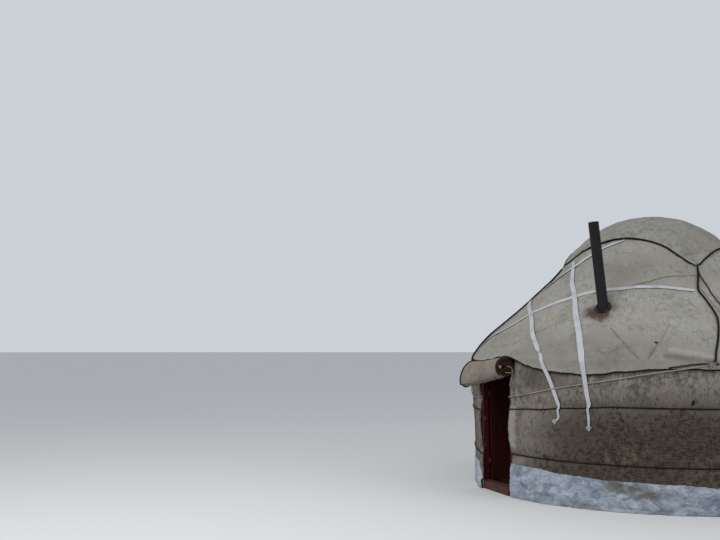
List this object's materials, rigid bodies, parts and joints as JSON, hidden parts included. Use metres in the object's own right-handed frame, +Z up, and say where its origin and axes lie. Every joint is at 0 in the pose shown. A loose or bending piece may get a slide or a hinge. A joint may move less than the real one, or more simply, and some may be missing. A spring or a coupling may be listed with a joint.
{
  "type": "yurt",
  "caption": "Round felt-covered tent with lattice wall, bent roof poles, domed crown, timber door frame with swinging leaves, rolled door flap and stove pipe.",
  "frame": {"origin": "middle of the overall plan, on the ground under the tent", "axes": "+Z up; the doorway faces -Y; +X is to the right of someone who looks out along +Y from the doorway"},
  "size_m": [4.6366, 4.8668, 3.4191],
  "materials": {
    "wall_felt": "weathered pressed felt, stained brown",
    "roof_felt": "weathered pressed felt, mottled grey beige",
    "cover_felt": "weathered pressed felt",
    "flap_felt": "pressed felt, dark at the rolled end",
    "skirt_sheet": "crumpled pale plastic sheet",
    "dark_rope": "twisted dark hair rope",
    "pale_rope": "twisted pale rope",
    "white_tape": "woven white tape",
    "door_paint": "old dark red paint on wood",
    "threshold_wood": "worn bare wood",
    "frame_wood": "oiled reddish wood",
    "pipe_steel": "sooty dark steel with rust",
    "hinge_steel": "dull worn steel"
  },
  "bodies": {
    "tent": {"cross_tape": "white_tape", "crown_cover": "cover_felt", "crown_cover_cord": "dark_rope", "crown_laths_lower": "frame_wood", "crown_laths_upper": "frame_wood", "crown_ring": "frame_wood", "crown_tape": "white_tape", "door_flap": "flap_felt", "door_flap_straps": "white_tape", "door_poles": "frame_wood", "jamb_hinges": "hinge_steel", "jamb_hooks": "hinge_steel", "jamb_left": "door_paint", "jamb_right": "door_paint", "lattice_1": "frame_wood", "lattice_2": "frame_wood", "lattice_3": "frame_wood", "lattice_4": "frame_wood", "left_tape": "white_tape", "lintel": "door_paint", "pale_ropes": "pale_rope", "pipe_collar": "pipe_steel", "right_tape": "white_tape", "roof_edge_cords": "dark_rope", "roof_felt_1": "roof_felt", "roof_felt_2": "roof_felt", "roof_felt_3": "roof_felt", "roof_felt_4": "roof_felt", "roof_poles_1": "frame_wood", "roof_poles_2": "frame_wood", "roof_poles_3": "frame_wood", "roof_poles_4": "frame_wood", "skirt_1": "skirt_sheet", "skirt_2": "skirt_sheet", "stove_pipe": "pipe_steel", "threshold": "threshold_wood", "wall_felt_1": "wall_felt", "wall_felt_2": "wall_felt", "wall_felt_3": "wall_felt", "wall_felt_4": "wall_felt", "wall_ropes": "dark_rope"},
    "left_leaf": {"door_leaf_left": "door_paint", "leaf_hinges_left": "hinge_steel"},
    "right_leaf": {"door_leaf_right": "door_paint", "leaf_hinges_right": "hinge_steel"}
  },
  "joints": [
    {"name": "left_leaf_hinge", "type": "hinge", "parent": "tent", "child": "left_leaf", "pos_m": [-0.342, -2.05985, 0], "axis": [0, 0, -1], "range_deg": [-25, 90]},
    {"name": "right_leaf_hinge", "type": "hinge", "parent": "tent", "child": "right_leaf", "pos_m": [0.342, -2.05985, 0], "axis": [0, 0, 1], "range_deg": [-25, 90]}
  ]
}
